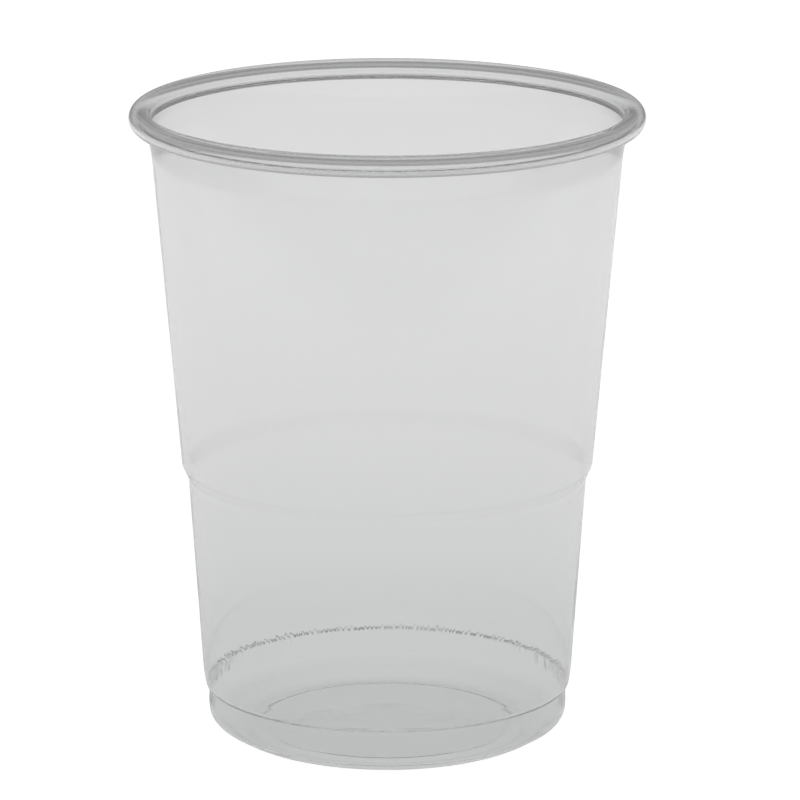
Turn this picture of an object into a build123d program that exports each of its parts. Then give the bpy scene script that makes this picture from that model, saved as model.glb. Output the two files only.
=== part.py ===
from build123d import *
import math
import os

# Small clear tasting cup, formed in one piece from a thin plastic sheet.
# Everything is in millimetres. The axis of the cup is Z, the cup stands on the
# plane z = 0, and the origin is the centre of that plane.

# ---- driving dimensions ----------------------------------------------------
foot_sheet = 0.14      # sheet thickness left in the base and the foot
ledge_sheet = 0.09     # sheet thickness at the ledge, drawn the most
wall = 0.20            # sheet thickness of the wall
wall_top = 0.23        # sheet thickness just under the roll, drawn the least

height = 71.35         # top of the rolled rim
rim_d = 57.00          # outside diameter over the rolled rim
bead_d = 2.376         # diameter of the roll itself
hollow_d = 1.200       # diameter of the hollow inside the roll
hollow_out = 0.050     # the hollow sits a little outwards in the roll
hollow_down = 0.040    # and a little low
hollow_stop = -147.4   # direction, in degrees, where the inside of the roll ends
roll_stop = -119.2     # direction where the outside of the roll ends
round_edge = 0.04      # the two corners of that free edge

flare_r, flare_z = 25.99, 66.00        # the wall opens slightly under the roll
step_top_r, step_top_z = 22.93, 30.91  # stiffening step half way up
step_low_r, step_low_z = 22.23, 29.38
wall_low_r, wall_low_z = 20.71, 7.10   # foot of the drawn wall
turn_r, turn_z = 20.56, 5.98           # the wall turns in towards the ledge
ledge_r, ledge_z = 20.40, 5.38         # stacking ledge, its tip turned down a little
groove_r, groove_z = 19.98, 5.60       # crease above the foot band, where the ledge starts
band_r, band_z = 20.13, 3.40           # upright foot band
heel_r, heel_z = 20.06, 1.72           # band meets the slanted heel
sole_out_r = 17.10                     # heel meets the standing ring
sole_in_r = 15.20                      # inner edge of the standing ring
lip_r, lip_z = 14.30, 0.39             # low raised lip just inside that ring
recess_r, recess_z = 13.50, 0.36       # edge of the flat part of the base
disc_out_r, disc_out_z = 6.60, 0.42    # foot of the raised middle
disc_r, disc_z = 3.40, 0.70            # edge of the raised middle

# corner roundings on the outer skin, from the middle of the base upwards
round_disc, round_disc_foot, round_recess, round_lip, round_sole_in = 12.0, 12.0, 2.5, 0.8, 0.5
round_sole_out, round_heel, round_band = 3.0, 1.8, 1.6
round_groove, round_ledge, round_turn, round_wall = 0.30, 0.15, 0.60, 5.00
round_step_low, round_step_top, round_flare = 1.20, 1.30, 12.0

bead_r = bead_d / 2
bead_cr = rim_d / 2 - bead_r           # centre of the roll, from the axis
bead_cz = height - bead_r              # centre of the roll, from the table
hollow_r = hollow_d / 2
hollow_cr = bead_cr + hollow_out
hollow_cz = bead_cz - hollow_down


# ---- section ---------------------------------------------------------------
def beside(points, gaps):
    """The corners of the line that runs on the left of points, gaps away from each corner."""
    out = []
    for i, (x, y) in enumerate(points):
        dirs = []
        for a, b in ((i - 1, i), (i, i + 1)):
            if 0 <= a and b < len(points):
                dx, dy = points[b][0] - points[a][0], points[b][1] - points[a][1]
                n = math.hypot(dx, dy)
                dirs.append((dx / n, dy / n))
        (ax, ay), (bx, by) = dirs[0], dirs[-1]
        nx, ny = -(ay + by), ax + bx
        n = math.hypot(nx, ny)
        nx, ny = nx / n, ny / n
        k = gaps[i] / (nx * -ay + ny * ax)
        out.append((x + nx * k, y + ny * k))
    return out


def bends(points):
    """How far the line turns at each inner corner, in radians, positive to the left."""
    heads = [math.atan2(b[1] - a[1], b[0] - a[0]) for a, b in zip(points, points[1:])]
    return [(h1 - h0 + math.pi) % (2 * math.pi) - math.pi for h0, h1 in zip(heads, heads[1:])]


def fitted(points, radii):
    """radii, made smaller where the roundings of neighbouring corners would meet."""
    radii = list(radii)
    half = [math.tan(abs(b) / 2) for b in bends(points)]
    runs = [math.hypot(b[0] - a[0], b[1] - a[1]) for a, b in zip(points, points[1:])]
    for _ in range(8):
        for i, run in enumerate(runs):
            near = [k for k in (i - 1, i) if 0 <= k < len(radii)]
            used = sum(radii[k] * half[k] for k in near)
            if used > 0.97 * run:
                for k in near:
                    radii[k] *= 0.95 * run / used
    return radii


def tangent_point(point, centre, radius):
    """Where the line from point touches the circle, on the side facing the axis."""
    dx, dy = point[0] - centre[0], point[1] - centre[1]
    d = math.hypot(dx, dy)
    a = math.atan2(dy, dx) - math.acos(radius / d)
    return (centre[0] + radius * math.cos(a), centre[1] + radius * math.sin(a))


def on_circle(centre, radius, degrees):
    a = math.radians(degrees)
    return (centre[0] + radius * math.cos(a), centre[1] + radius * math.sin(a))


bead = (bead_cr, bead_cz)
hollow = (hollow_cr, hollow_cz)
outer = [
    (0, disc_z), (disc_r, disc_z), (disc_out_r, disc_out_z), (recess_r, recess_z),
    (lip_r, lip_z), (sole_in_r, 0), (sole_out_r, 0), (heel_r, heel_z), (band_r, band_z),
    (groove_r, groove_z), (ledge_r, ledge_z), (turn_r, turn_z), (wall_low_r, wall_low_z),
    (step_low_r, step_low_z), (step_top_r, step_top_z), (flare_r, flare_z),
]
outer_end = tangent_point(outer[-1], hollow, hollow_r)
outer.append(outer_end)
gaps = [foot_sheet] * 9 + [ledge_sheet] * 2 + [(foot_sheet + wall) / 2] + [wall] * 3 + [wall_top] * 2
outer_radii = fitted(outer, [
    round_disc, round_disc_foot, round_recess, round_lip, round_sole_in, round_sole_out,
    round_heel, round_band, round_groove, round_ledge, round_turn, round_wall, round_step_low,
    round_step_top, round_flare,
])

inner = beside(outer, gaps)[:-1]
inner_end = tangent_point(inner[-1], bead, bead_r)
inner.append(inner_end)
inner_radii = fitted(inner, [
    max(0.10, r - gap) if bend > 0 else r + gap
    for r, gap, bend in zip(outer_radii, gaps[1:], bends(outer))
])

with BuildPart() as cup:
    with BuildSketch(Plane.XZ) as section:
        with BuildLine() as outline:
            FilletPolyline(*outer, radius=outer_radii)
            # the outer skin becomes the inside of the roll
            ThreePointArc(
                outer_end, on_circle(hollow, hollow_r, 10),
                on_circle(hollow, hollow_r, hollow_stop),
            )
            # free edge of the sheet
            Line(on_circle(hollow, hollow_r, hollow_stop), on_circle(bead, bead_r, roll_stop))
            # the inner skin becomes the outside of the roll
            ThreePointArc(
                on_circle(bead, bead_r, roll_stop), on_circle(bead, bead_r, 50), inner_end,
            )
            FilletPolyline(*reversed(inner), radius=list(reversed(inner_radii)))
            Line(inner[0], outer[0])
        make_face()
        free_edge = [
            section.vertices().sort_by_distance(Vector(*corner))[0]
            for corner in (
                on_circle(hollow, hollow_r, hollow_stop), on_circle(bead, bead_r, roll_stop),
            )
        ]
        fillet(free_edge, radius=round_edge)
    revolve(axis=Axis.Z, revolution_arc=360)

cup.part.label = "cup"

os.makedirs("parts", exist_ok=True)
export_step(cup.part, "parts/cup.step")

box = cup.part.bounding_box()
print("box", box.min, box.max)
print("volume mm3", round(cup.part.volume, 1), "grams at 0.905", round(cup.part.volume * 0.905e-3, 2))
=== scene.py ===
import math

import bpy
import numpy as np
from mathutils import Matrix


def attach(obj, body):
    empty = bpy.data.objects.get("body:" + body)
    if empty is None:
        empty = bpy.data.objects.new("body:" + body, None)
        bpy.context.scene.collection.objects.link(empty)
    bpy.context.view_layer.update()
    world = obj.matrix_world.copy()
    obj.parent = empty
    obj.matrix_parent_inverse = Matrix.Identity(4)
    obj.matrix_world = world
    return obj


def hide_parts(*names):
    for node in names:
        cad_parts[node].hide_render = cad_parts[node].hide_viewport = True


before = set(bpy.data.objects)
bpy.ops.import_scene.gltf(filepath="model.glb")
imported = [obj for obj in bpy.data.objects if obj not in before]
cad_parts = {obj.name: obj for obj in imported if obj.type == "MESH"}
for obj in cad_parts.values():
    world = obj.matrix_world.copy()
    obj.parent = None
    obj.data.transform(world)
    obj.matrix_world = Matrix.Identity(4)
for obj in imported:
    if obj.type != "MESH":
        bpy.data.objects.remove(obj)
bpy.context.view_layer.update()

# A small clear tasting cup, formed in one piece from a thin plastic sheet.
# The section below repeats the driving dimensions of the model, in millimetres,
# and the mesh is scaled to metres when it is made.

MM = 0.001

# ---- driving dimensions, in millimetres --------------------------------------
foot_sheet = 0.14
ledge_sheet = 0.09
wall = 0.20
wall_top = 0.23
height = 71.35
rim_d = 57.00
bead_d = 2.376
hollow_d = 1.200
hollow_out = 0.050
hollow_down = 0.040
hollow_stop = -147.4
roll_stop = -119.2
round_edge = 0.04

bead_r = bead_d / 2
hollow_r = hollow_d / 2
bead = (rim_d / 2 - bead_r, height - bead_r)
hollow = (bead[0] + hollow_out, bead[1] - hollow_down)

disc = (3.40, 0.70)             # edge of the raised middle
disc_out = (6.60, 0.42)
recess = (13.50, 0.36)          # edge of the flat part of the base
lip = (14.30, 0.39)             # low raised lip just inside the standing ring
sole_in = (15.20, 0)
sole_out = (17.10, 0)
heel = (20.06, 1.72)
band = (20.13, 3.40)            # upright foot band
groove = (19.98, 5.60)          # crease where the ledge starts
ledge = (20.40, 5.38)           # stacking ledge
turn = (20.56, 5.98)
wall_low = (20.71, 7.10)
step_low = (22.23, 29.38)
step_top = (22.93, 30.91)
flare = (25.99, 66.00)
round_disc, round_disc_foot, round_recess, round_lip, round_sole_in = 12.0, 12.0, 2.5, 0.8, 0.5
round_sole_out, round_heel, round_band = 3.0, 1.8, 1.6
round_groove, round_ledge, round_turn, round_wall = 0.30, 0.15, 0.60, 5.00
round_step_low, round_step_top, round_flare = 1.20, 1.30, 12.0

# ---- mesh and tooth settings ---------------------------------------------------
SEGMENTS = 256
FINE = 4            # the ledge has this many times the segments, for its fine teeth
TEETH = 250
TOOTH_IN = 0.10    # depth of the teeth, in millimetres
TOOTH_UP = 0.65
TOOTH_OUTER = True  # the teeth are on the outer skin
TOOTH_INNER = True
TOOTH_AT = (-0.15, -0.02)    # middle of the toothed zone, from the ledge's corner
TOOTH_ZONE = (0.55, 0.42)   # its half sizes
LONG = 4.0          # longest straight run between two rings, in millimetres
TURN_STEP = 7.0     # degrees between two rings of a rounding
TINY = 0.65         # roundings up to this radius, in millimetres, take twice that step

# ---- look settings -------------------------------------------------------------
HAZE = 0.97         # share of the light that the sheet lets through unscattered
ABSORB = 60.0
# painted light on the floor, stops by distance from the axis over 0.8 m: painted shade near the foot of the cup, a
# painted pool of light brightest round 0.24 m, fading far off
FLOOR_PAINTED_LIGHT = ((0.0, 0.63), (0.05, 0.63), (0.10, 0.69), (0.21, 0.76), (0.30, 0.793), (0.37, 0.780), (0.43, 0.760), (0.70, 0.74), (1.0, 0.30))
FLOOR_PAINTED_TILT = 0.03    # painted shade: how much brighter the floor's painted glow is at the rear of the foot than in front
SKY_FRONT = ((0.0, 1.05), (0.17, 0.86), (0.38, 0.69), (0.60, 0.48), (0.79, 0.55), (1.0, 0.48))
SKY_BACK = ((0.0, 0.25), (0.17, 0.45), (0.38, 0.35), (0.60, 0.24), (0.79, 0.26), (1.0, 0.48))
SEEN = 0.74         # what the floor adds of its own where the camera sees it


# ---- section -------------------------------------------------------------------
def beside(points, gaps):
    """The corners of the line that runs on the left of points, gaps away from each corner."""
    out = []
    for i, (x, y) in enumerate(points):
        dirs = []
        for a, b in ((i - 1, i), (i, i + 1)):
            if 0 <= a and b < len(points):
                dx, dy = points[b][0] - points[a][0], points[b][1] - points[a][1]
                n = math.hypot(dx, dy)
                dirs.append((dx / n, dy / n))
        (ax, ay), (bx, by) = dirs[0], dirs[-1]
        nx, ny = -(ay + by), ax + bx
        n = math.hypot(nx, ny)
        nx, ny = nx / n, ny / n
        k = gaps[i] / (nx * -ay + ny * ax)
        out.append((x + nx * k, y + ny * k))
    return out


def headings(points):
    return [math.atan2(b[1] - a[1], b[0] - a[0]) for a, b in zip(points, points[1:])]


def bends(points):
    """How far the line turns at each inner corner, in radians, positive to the left."""
    heads = headings(points)
    return [(h1 - h0 + math.pi) % (2 * math.pi) - math.pi for h0, h1 in zip(heads, heads[1:])]


def fitted(points, radii):
    """radii, made smaller where the roundings of neighbouring corners would meet."""
    radii = list(radii)
    half = [math.tan(abs(b) / 2) for b in bends(points)]
    runs = [math.hypot(b[0] - a[0], b[1] - a[1]) for a, b in zip(points, points[1:])]
    for _ in range(8):
        for i, run in enumerate(runs):
            near = [k for k in (i - 1, i) if 0 <= k < len(radii)]
            used = sum(radii[k] * half[k] for k in near)
            if used > 0.97 * run:
                for k in near:
                    radii[k] *= 0.95 * run / used
    return radii


def tangent_point(point, centre, radius):
    """Where the line from point touches the circle, on the side facing the axis."""
    dx, dy = point[0] - centre[0], point[1] - centre[1]
    d = math.hypot(dx, dy)
    a = math.atan2(dy, dx) - math.acos(radius / d)
    return (centre[0] + radius * math.cos(a), centre[1] + radius * math.sin(a))


def rounded(points, radii, step):
    """points with each inner corner rounded, as (r, z, heading)."""
    heads = headings(points)
    line = [(*points[0], heads[0])]
    for i, (radius, bend) in enumerate(zip(radii, bends(points)), 1):
        a0 = heads[i - 1]
        side = 1 if bend > 0 else -1
        back = radius * math.tan(abs(bend) / 2)
        px, pz = points[i]
        sx, sz = px - back * math.cos(a0), pz - back * math.sin(a0)
        cx, cz = sx - side * radius * math.sin(a0), sz + side * radius * math.cos(a0)
        n = max(2, math.ceil(abs(math.degrees(bend)) / (step if radius > TINY else 2 * step)))
        for k in range(n + 1):
            h = a0 + bend * k / n
            line.append((cx + side * radius * math.sin(h), cz - side * radius * math.cos(h), h))
    line.append((*points[-1], heads[-1]))
    return line


def arc(centre, radius, d0, d1, step):
    """Points round centre from d0 to d1 degrees, as (r, z, heading)."""
    n = max(2, math.ceil(abs(d1 - d0) / step))
    line = []
    for k in range(n + 1):
        a = math.radians(d0 + (d1 - d0) * k / n)
        h = a + (math.pi / 2 if d1 > d0 else -math.pi / 2)
        line.append((centre[0] + radius * math.cos(a), centre[1] + radius * math.sin(a), h))
    return line


def eased(a, b, c, radius, step):
    """The rounding of the corner b between a and c."""
    return rounded([a[:2], b[:2], c[:2]], [radius], step)[1:-1]


def direction(centre, point):
    return math.degrees(math.atan2(point[1] - centre[1], point[0] - centre[0]))


outer = [
    (0, disc[1]), disc, disc_out, recess, lip, sole_in, sole_out, heel, band,
    groove, ledge, turn, wall_low, step_low, step_top, flare,
]
outer_end = tangent_point(outer[-1], hollow, hollow_r)
outer.append(outer_end)
gaps = [foot_sheet] * 9 + [ledge_sheet] * 2 + [(foot_sheet + wall) / 2] + [wall] * 3 + [wall_top] * 2
outer_radii = fitted(outer, [
    round_disc, round_disc_foot, round_recess, round_lip, round_sole_in, round_sole_out,
    round_heel, round_band, round_groove, round_ledge, round_turn, round_wall, round_step_low,
    round_step_top, round_flare,
])
inner = beside(outer, gaps)[:-1]
inner_end = tangent_point(inner[-1], bead, bead_r)
inner.append(inner_end)
inner_radii = fitted(inner, [
    max(0.10, r - gap) if bend > 0 else r + gap
    for r, gap, bend in zip(outer_radii, gaps[1:], bends(outer))
])

hollow_arc = arc(hollow, hollow_r, direction(hollow, outer_end), hollow_stop, 8.0)
roll = arc(bead, bead_r, roll_stop, direction(bead, inner_end), 6.0)
section = rounded(outer, outer_radii, TURN_STEP)
section += hollow_arc[1:-1]
section += eased(hollow_arc[-2], hollow_arc[-1], roll[0], round_edge, 30.0)
section += eased(hollow_arc[-1], roll[0], roll[1], round_edge, 30.0)
section += roll[1:]
section += rounded(list(reversed(inner)), list(reversed(inner_radii)), TURN_STEP)[1:]

# long straight runs get a few rings of their own
filled = [section[0]]
for p, q in zip(section, section[1:]):
    run = math.hypot(q[0] - p[0], q[1] - p[1])
    if run < 1e-6:
        continue
    n = max(1, round(run / LONG)) if run > 1.5 * LONG else 1
    filled += [(p[0] + (q[0] - p[0]) * k / n, p[1] + (q[1] - p[1]) * k / n, p[2]) for k in range(1, n)]
    filled.append(q)
section = filled

# ---- camera --------------------------------------------------------------------
PITCH = math.radians(14.295)
DIST = 0.63308
cam_data = bpy.data.cameras.new("camera")
cam_data.sensor_width = 36.0
cam_data.lens = 5678.06 * 36.0 / 800.0
cam_data.shift_x = 12.7 / 800.0
cam_data.clip_start = 0.01
cam_data.clip_end = 50.0
camera = bpy.data.objects.new("camera", cam_data)
bpy.context.scene.collection.objects.link(camera)
camera.location = (0.0, -DIST * math.cos(PITCH), 0.03784 + DIST * math.sin(PITCH))
camera.rotation_euler = (math.pi / 2 - PITCH, 0.0, 0.0)
bpy.context.scene.camera = camera

# ---- mesh ----------------------------------------------------------------------
rng = np.random.default_rng(7)


def tooth_table(count, n):
    """Uneven teeth round the ledge: n samples of a ring of count teeth, 0 to 1."""
    edges = np.cumsum(rng.uniform(0.55, 1.45, count))
    edges = edges / edges[-1]
    size = rng.uniform(0.15, 1.0, count)
    t = np.arange(n) / n
    k = np.searchsorted(edges, t, side="right") % count
    lo = np.where(k > 0, edges[k - 1], 0.0)
    u = (t - lo) / (edges[k] - lo)
    return size[k] * np.sin(np.pi * u) ** 2


fine_n = SEGMENTS * FINE
teeth = tooth_table(TEETH, fine_n)
lift = tooth_table(TEETH, fine_n) - 0.35
slow = sum(
    a * np.cos(2 * np.pi * (f * np.arange(fine_n) / fine_n + p))
    for a, f, p in ((0.35, 3, 0.1), (0.30, 7, 0.6), (0.25, 13, 0.3), (0.2, 29, 0.8))
)
strength = np.clip(0.9 + 0.3 * slow, 0.3, 1.3)
# full at the rear, faint in front, where the photo shows a smooth line
strength *= np.clip(0.6 + 1.2 * np.sin(2 * np.pi * np.arange(fine_n) / fine_n), 0.25, 1.0)


def ledge_weight(r, z):
    """How much of the tooth pattern a point of the section takes, 1 at the middle of the zone."""
    d = math.hypot((r - ledge[0] - TOOTH_AT[0]) / TOOTH_ZONE[0], (z - ledge[1] - TOOTH_AT[1]) / TOOTH_ZONE[1])
    return max(0.0, 1 - d * d) ** 1.2 if d < 1 else 0.0


def around(values):
    """How fast a closed ring of samples changes with the angle."""
    return (np.roll(values, -1) - np.roll(values, 1)) * len(values) / (4 * np.pi)


inward = TOOTH_IN * teeth * strength
upward = TOOTH_UP * lift * strength

verts, faces, normals = [], [], []
rings = []          # (index of first vertex, number of vertices)
top = max(range(len(section)), key=lambda i: section[i][1])
for i, (r, z, h) in enumerate(section):
    if r < 1e-9:
        rings.append((len(verts), 1))
        verts.append((0.0, 0.0, z))
        normals.append((0.0, 0.0, -math.cos(h)))
        continue
    toothed = TOOTH_OUTER if i < top else TOOTH_INNER
    w = ledge_weight(r, z) if toothed else 0.0
    n = fine_n if w > 0 else SEGMENTS
    rings.append((len(verts), n))
    a = 2 * np.pi * np.arange(n) / n
    rr, zz = np.full(n, r), np.full(n, z)
    # how the radius and the height change along the section and round the ring
    r_s, z_s = np.full(n, math.cos(h)), np.full(n, math.sin(h))
    r_a, z_a = np.zeros(n), np.zeros(n)
    if w > 0:
        e = 0.005
        ahead = ledge_weight(r + e * math.cos(h), z + e * math.sin(h))
        behind = ledge_weight(r - e * math.cos(h), z - e * math.sin(h))
        w_s = (ahead - behind) / (2 * e)
        rr, zz = rr - w * inward, zz + w * upward
        r_s, z_s = r_s - w_s * inward, z_s + w_s * upward
        r_a, z_a = -w * around(inward), w * around(upward)
    nr, na, nz = rr * z_s, z_a * r_s - r_a * z_s, -rr * r_s
    size = np.sqrt(nr ** 2 + na ** 2 + nz ** 2)
    nr, na, nz = nr / size, na / size, nz / size
    verts.extend(zip(rr * np.cos(a), rr * np.sin(a), zz))
    normals.extend(zip(nr * np.cos(a) - na * np.sin(a), nr * np.sin(a) + na * np.cos(a), nz))

for (i0, n0), (i1, n1) in zip(rings, rings[1:]):
    if n0 == 1:
        faces += [(i0, i1 + (j + 1) % n1, i1 + j) for j in range(n1)]
    elif n1 == 1:
        faces += [(i0 + j, i0 + (j + 1) % n0, i1) for j in range(n0)]
    elif n0 == n1:
        faces += [(i0 + j, i0 + (j + 1) % n0, i1 + (j + 1) % n0, i1 + j) for j in range(n0)]
    else:
        coarse, fine, flip = ((i0, n0), (i1, n1), False) if n0 < n1 else ((i1, n1), (i0, n0), True)
        k = fine[1] // coarse[1]
        for j in range(coarse[1]):
            c0, c1 = coarse[0] + j, coarse[0] + (j + 1) % coarse[1]
            f = [fine[0] + (j * k + m) % fine[1] for m in range(k + 1)]
            half = k // 2
            tris = [(c0, f[m + 1], f[m]) for m in range(half)]
            tris.append((c0, c1, f[half]))
            tris += [(c1, f[m + 1], f[m]) for m in range(half, k)]
            faces += [tuple(reversed(t)) for t in tris] if flip else tris

mesh = bpy.data.meshes.new("cup_shell")
mesh.from_pydata([(x * MM, y * MM, z * MM) for x, y, z in verts], [], faces)
mesh.validate()
mesh.shade_smooth()
mesh.normals_split_custom_set_from_vertices(normals)
cup = bpy.data.objects.new("cup_shell", mesh)
bpy.context.scene.collection.objects.link(cup)
print("SECTION POINTS", len(section), "TRIS", sum(len(f) - 2 for f in faces))

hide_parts("cup")
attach(cup, "root")


# ---- materials -------------------------------------------------------------------
def new(tree, kind, **values):
    """A node with its named settings and input values."""
    node = tree.nodes.new(kind)
    for name, value in values.items():
        if hasattr(node, name):
            setattr(node, name, value)
        else:
            node.inputs[name.replace("_", " ")].default_value = value
    return node


def ramp(tree, source, stops):
    """A grey ColorRamp of (position, value) stops, driven by source."""
    node = tree.nodes.new("ShaderNodeValToRGB")
    els = node.color_ramp.elements
    els[0].position, els[0].color = stops[0][0], (stops[0][1],) * 3 + (1,)
    els[1].position, els[1].color = stops[-1][0], (stops[-1][1],) * 3 + (1,)
    for place, value in stops[1:-1]:
        els.new(place).color = (value,) * 3 + (1,)
    tree.links.new(source, node.inputs[0])
    return node.outputs[0]


plastic = bpy.data.materials.new("clear_plastic")
plastic.use_nodes = True
nt = plastic.node_tree
nt.nodes.clear()
link = nt.links.new
out = new(nt, "ShaderNodeOutputMaterial")
bsdf = new(nt, "ShaderNodeBsdfPrincipled", IOR=1.49, Transmission_Weight=HAZE)
coord = new(nt, "ShaderNodeTexCoord")
place = new(nt, "ShaderNodeSeparateXYZ")
link(coord.outputs["Object"], place.inputs[0])

# the sheet is a little cooler and greener towards the foot, where more of it is in line
up = new(nt, "ShaderNodeMapRange", From_Min=0.0, From_Max=0.030, To_Min=0.0, To_Max=1.0)
link(place.outputs["Z"], up.inputs["Value"])
tint = new(nt, "ShaderNodeMix", data_type="RGBA")
link(up.outputs["Result"], tint.inputs[0])
tint.inputs[6].default_value = (0.938, 0.952, 0.948, 1)
tint.inputs[7].default_value = (0.952, 0.954, 0.954, 1)
link(tint.outputs[2], bsdf.inputs["Base Color"])

# draw streaks up the wall and a slow waviness, both very slight
stretch = new(nt, "ShaderNodeMapping")
stretch.inputs["Scale"].default_value = (420.0, 420.0, 26.0)
link(coord.outputs["Object"], stretch.inputs["Vector"])
streaks = new(nt, "ShaderNodeTexNoise", Scale=1.0, Detail=3.0, Roughness=0.55)
link(stretch.outputs[0], streaks.inputs["Vector"])
slow_wave = new(nt, "ShaderNodeTexNoise", Scale=95.0, Detail=2.0, Roughness=0.5)
link(coord.outputs["Object"], slow_wave.inputs["Vector"])
waves = new(nt, "ShaderNodeMath", operation="MULTIPLY_ADD")
link(streaks.outputs["Fac"], waves.inputs[0])
waves.inputs[1].default_value = 0.25
link(slow_wave.outputs["Fac"], waves.inputs[2])
bump = new(nt, "ShaderNodeBump", Strength=0.10, Distance=0.0002)
link(waves.outputs[0], bump.inputs["Height"])
link(bump.outputs[0], bsdf.inputs["Normal"])

# cloudy patches where the sheet is a little less glossy
cloud = new(nt, "ShaderNodeTexNoise", Scale=160.0, Detail=4.0, Roughness=0.6)
link(coord.outputs["Object"], cloud.inputs["Vector"])
rough = new(nt, "ShaderNodeMapRange", From_Min=0.3, From_Max=0.7, To_Min=0.015, To_Max=0.05)
link(cloud.outputs["Fac"], rough.inputs["Value"])
link(rough.outputs["Result"], bsdf.inputs["Roughness"])

body = new(nt, "ShaderNodeVolumeAbsorption", Color=(0, 0, 0, 1), Density=ABSORB)
link(body.outputs[0], out.inputs["Volume"])

# lamps and sky pass through the sheet to what it shades
clear = new(nt, "ShaderNodeBsdfTransparent", Color=(0.90, 0.905, 0.905, 1))
path = new(nt, "ShaderNodeLightPath")
mix = new(nt, "ShaderNodeMixShader")
link(path.outputs["Is Shadow Ray"], mix.inputs[0])
link(bsdf.outputs[0], mix.inputs[1])
link(clear.outputs[0], mix.inputs[2])
link(mix.outputs[0], out.inputs["Surface"])
mesh.materials.append(plastic)

# ---- floor -----------------------------------------------------------------------
# The floor reads as plain white paper. What the cup itself bends or mirrors of it is a dimmer, pale grey glow
# painted on the floor as the light of a softly lit table, so that the clear sheet stands out from the white: painted
# shade near the foot of the cup, a painted pool of light further out that fades far off, and painted shade in front
# of the foot.
S = 6.0
floor_mesh = bpy.data.meshes.new("floor")
floor_mesh.from_pydata([(-S, -S, 0), (S, -S, 0), (S, S, 0), (-S, S, 0)], [], [(0, 1, 2, 3)])
floor = bpy.data.objects.new("floor", floor_mesh)
bpy.context.scene.collection.objects.link(floor)
floor.location.z = -0.0001
fm = bpy.data.materials.new("floor")
fm.use_nodes = True
ft = fm.node_tree
ft.nodes.clear()
link = ft.links.new
fo = new(ft, "ShaderNodeOutputMaterial")
paper = new(ft, "ShaderNodeBsdfDiffuse", Color=(0.80, 0.80, 0.80, 1))
lift_up = new(ft, "ShaderNodeEmission", Strength=SEEN)
white = new(ft, "ShaderNodeAddShader")
link(paper.outputs[0], white.inputs[0])
link(lift_up.outputs[0], white.inputs[1])
where = new(ft, "ShaderNodeTexCoord")
far = new(ft, "ShaderNodeVectorMath", operation="LENGTH")
link(where.outputs["Object"], far.inputs[0])
span = new(ft, "ShaderNodeMath", operation="DIVIDE")
link(far.outputs["Value"], span.inputs[0])
span.inputs[1].default_value = 0.8
# painted light: the floor's glow for bent and mirrored rays, with painted shade near the cup and a painted pool of
# light further out
grey = new(ft, "ShaderNodeEmission")
link(ramp(ft, span.outputs[0], FLOOR_PAINTED_LIGHT), grey.inputs["Color"])
spot = new(ft, "ShaderNodeSeparateXYZ")
link(where.outputs["Object"], spot.inputs[0])
# painted shade under the front of the foot: the floor's glow is dimmer in front of the axis and brighter behind it
painted_shade_tilt = new(ft, "ShaderNodeMapRange", From_Min=-0.02, From_Max=0.02, To_Min=1.0 - FLOOR_PAINTED_TILT, To_Max=1.0 + FLOOR_PAINTED_TILT)
link(spot.outputs["Y"], painted_shade_tilt.inputs["Value"])
link(painted_shade_tilt.outputs["Result"], grey.inputs["Strength"])
seen = new(ft, "ShaderNodeLightPath")
choose = new(ft, "ShaderNodeMixShader")
link(seen.outputs["Is Camera Ray"], choose.inputs[0])
link(grey.outputs[0], choose.inputs[1])
link(white.outputs[0], choose.inputs[2])
link(choose.outputs[0], fo.inputs["Surface"])
floor_mesh.materials.append(fm)

# ---- light -----------------------------------------------------------------------
# One soft sky, brightest low down on the camera's side and dim overhead.
world = bpy.data.worlds.new("studio")
bpy.context.scene.world = world
world.use_nodes = True
wt = world.node_tree
wt.nodes.clear()
link = wt.links.new
wo = new(wt, "ShaderNodeOutputWorld")
sky = new(wt, "ShaderNodeBackground")
way = new(wt, "ShaderNodeTexCoord")
sep = new(wt, "ShaderNodeSeparateXYZ")
link(way.outputs["Generated"], sep.inputs[0])
side = new(wt, "ShaderNodeMapRange", From_Min=-1.0, From_Max=1.0, To_Min=0.0, To_Max=1.0)
link(sep.outputs["Y"], side.inputs["Value"])
blend = new(wt, "ShaderNodeMix", data_type="RGBA")
link(side.outputs["Result"], blend.inputs[0])
link(ramp(wt, sep.outputs["Z"], SKY_FRONT), blend.inputs[6])
link(ramp(wt, sep.outputs["Z"], SKY_BACK), blend.inputs[7])
link(blend.outputs[2], sky.inputs["Color"])
backdrop = new(wt, "ShaderNodeBackground", Color=(1, 1, 1, 1))
seen = new(wt, "ShaderNodeLightPath")
choose = new(wt, "ShaderNodeMixShader")
link(seen.outputs["Is Camera Ray"], choose.inputs[0])
link(sky.outputs[0], choose.inputs[1])
link(backdrop.outputs[0], choose.inputs[2])
link(choose.outputs[0], wo.inputs["Surface"])

bpy.context.scene.view_settings.view_transform = "Standard"
bpy.context.scene.view_settings.look = "None"
cycles = bpy.context.scene.cycles
cycles.max_bounces = 24
cycles.transmission_bounces = 20
cycles.glossy_bounces = 12
cycles.transparent_max_bounces = 24
cycles.caustics_reflective = True
cycles.caustics_refractive = True
